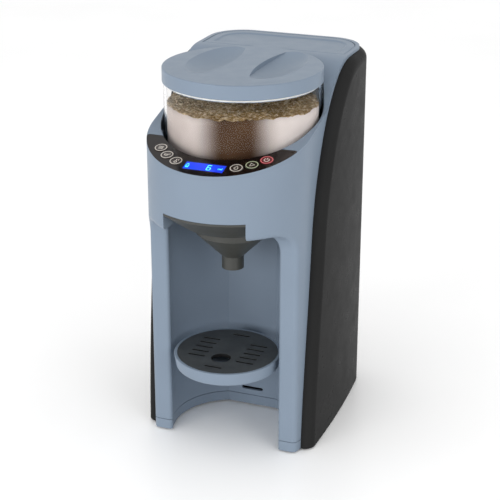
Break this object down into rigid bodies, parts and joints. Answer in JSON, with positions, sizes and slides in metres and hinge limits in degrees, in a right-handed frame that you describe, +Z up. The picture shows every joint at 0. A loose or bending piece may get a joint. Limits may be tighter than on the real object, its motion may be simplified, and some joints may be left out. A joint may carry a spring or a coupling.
{
  "type": "formula dispenser",
  "caption": "Bench-top machine that doses powder and warm water through a funnel into a bottle standing in its front bay.",
  "frame": {"origin": "centre of the footprint's box, on the surface that the rubber feet stand on", "axes": "+Z up, +Y towards the back, +X to the right seen from the front"},
  "size_m": [0.201, 0.299, 0.416],
  "materials": {
    "shell_blue_grey": "satin gloss",
    "dark_plastic": "matte",
    "rubber_black": "matte",
    "steel": "brushed",
    "black_panel": "satin",
    "inner_white": "matte",
    "gloss_black": "high gloss",
    "lcd_blue": "backlit display",
    "board_green": "satin",
    "brass": "satin",
    "silicone": "translucent matte",
    "clear_plastic": "clear gloss",
    "gear_white": "satin",
    "funnel_grey": "satin",
    "grid_black": "fine texture",
    "smoke_plastic": "smoky gloss",
    "button_silver": "gloss",
    "button_green": "gloss",
    "button_red": "gloss"
  },
  "bodies": {
    "base": {"front_shell": "shell_blue_grey", "base_skirt": "shell_blue_grey", "base_plate": "dark_plastic", "rubber_feet": "rubber_black", "base_screws": "steel", "side_panel_right": "black_panel", "side_panel_left": "black_panel", "rear_panel": "black_panel", "top_cover": "shell_blue_grey", "bulkhead": "inner_white", "tank_shelf": "inner_white", "bay_ceiling": "inner_white", "deck_plate": "inner_white", "powder_chute": "dark_plastic", "funnel_rails": "dark_plastic", "control_panel": "gloss_black", "lcd_window": "lcd_blue", "display_board": "board_green", "deck_bushing": "brass", "idler_pin": "steel", "drive_motor": "steel", "motor_bracket": "steel", "water_socket": "dark_plastic", "water_pump": "dark_plastic", "water_heater": "steel", "feed_hose": "silicone", "heater_hose": "silicone", "nozzle_hose": "silicone", "water_nozzle": "dark_plastic", "circuit_board": "board_green", "power_inlet": "gloss_black"},
    "powder_container": {"powder_container": "clear_plastic"},
    "container_lid": {"container_lid": "shell_blue_grey", "lid_seal": "silicone"},
    "stirrer": {"dosing_wheel": "inner_white", "stirring_paddle": "inner_white"},
    "drive_gear": {"drive_gear": "gear_white", "drive_coupler": "gear_white"},
    "idler_gear": {"idler_gear": "gear_white"},
    "motor_pinion": {"motor_pinion": "brass", "motor_shaft": "steel"},
    "mixing_funnel": {"mixing_funnel": "funnel_grey"},
    "tray": {"tray_holder": "shell_blue_grey"},
    "tray_grid": {"tray_grid": "grid_black"},
    "water_tank": {"water_tank": "smoke_plastic", "tank_valve": "dark_plastic"},
    "tank_lid": {"tank_lid": "shell_blue_grey"},
    "menu_button": {"menu_button": "button_silver"},
    "powder_button": {"powder_button": "button_silver"},
    "temperature_button": {"temperature_button": "button_silver"},
    "volume_button": {"volume_button": "button_silver"},
    "start_button": {"start_button": "button_green"},
    "power_button": {"power_button": "button_red"}
  },
  "joints": [
    {"name": "container_lift", "type": "slide", "parent": "base", "child": "powder_container", "axis": [0, 0, 1], "range_m": [0, 0.13]},
    {"name": "container_lid_lift", "type": "slide", "parent": "powder_container", "child": "container_lid", "axis": [0, 0, 1], "range_m": [0, 0.08]},
    {"name": "stirrer_spin", "type": "hinge", "parent": "powder_container", "child": "stirrer", "pos_m": [0, -0.0275, 0.3], "axis": [0, 0, 1], "continuous": true},
    {"name": "drive_gear_spin", "type": "hinge", "parent": "base", "child": "drive_gear", "pos_m": [0, -0.0275, 0.289], "axis": [0, 0, 1], "continuous": true},
    {"name": "idler_spin", "type": "hinge", "parent": "base", "child": "idler_gear", "pos_m": [0, 0.0075, 0.289], "axis": [0, 0, 1], "continuous": true},
    {"name": "pinion_spin", "type": "hinge", "parent": "base", "child": "motor_pinion", "pos_m": [0, 0.03375, 0.289], "axis": [0, 0, 1], "continuous": true},
    {"name": "funnel_slide", "type": "slide", "parent": "base", "child": "mixing_funnel", "axis": [0, -1, 0], "range_m": [0, 0.12]},
    {"name": "tray_slide", "type": "slide", "parent": "base", "child": "tray", "axis": [0, -1, 0], "range_m": [0, 0.13]},
    {"name": "grid_lift", "type": "slide", "parent": "tray", "child": "tray_grid", "axis": [0, 0, 1], "range_m": [0, 0.06]},
    {"name": "tank_lift", "type": "slide", "parent": "base", "child": "water_tank", "axis": [0, 0, 1], "range_m": [0, 0.24]},
    {"name": "tank_lid_lift", "type": "slide", "parent": "water_tank", "child": "tank_lid", "axis": [0, 0, 1], "range_m": [0, 0.08]},
    {"name": "menu_press", "type": "slide", "parent": "base", "child": "menu_button", "axis": [0, 0.2652, -0.9642], "range_m": [0, 0.001], "stiffness_N_per_m": 400, "springref_m": -0.001},
    {"name": "powder_press", "type": "slide", "parent": "base", "child": "powder_button", "axis": [0, 0.2652, -0.9642], "range_m": [0, 0.001], "stiffness_N_per_m": 400, "springref_m": -0.001},
    {"name": "temperature_press", "type": "slide", "parent": "base", "child": "temperature_button", "axis": [0, 0.2652, -0.9642], "range_m": [0, 0.001], "stiffness_N_per_m": 400, "springref_m": -0.001},
    {"name": "volume_press", "type": "slide", "parent": "base", "child": "volume_button", "axis": [0, 0.2652, -0.9642], "range_m": [0, 0.001], "stiffness_N_per_m": 400, "springref_m": -0.001},
    {"name": "start_press", "type": "slide", "parent": "base", "child": "start_button", "axis": [0, 0.2652, -0.9642], "range_m": [0, 0.001], "stiffness_N_per_m": 400, "springref_m": -0.001},
    {"name": "power_press", "type": "slide", "parent": "base", "child": "power_button", "axis": [0, 0.2652, -0.9642], "range_m": [0, 0.001], "stiffness_N_per_m": 400, "springref_m": -0.001}
  ],
  "couplings": [
    {"joint": "drive_gear_spin", "follows": "stirrer_spin", "ratio": 1},
    {"joint": "idler_spin", "follows": "stirrer_spin", "ratio": -1},
    {"joint": "pinion_spin", "follows": "stirrer_spin", "ratio": 2}
  ]
}
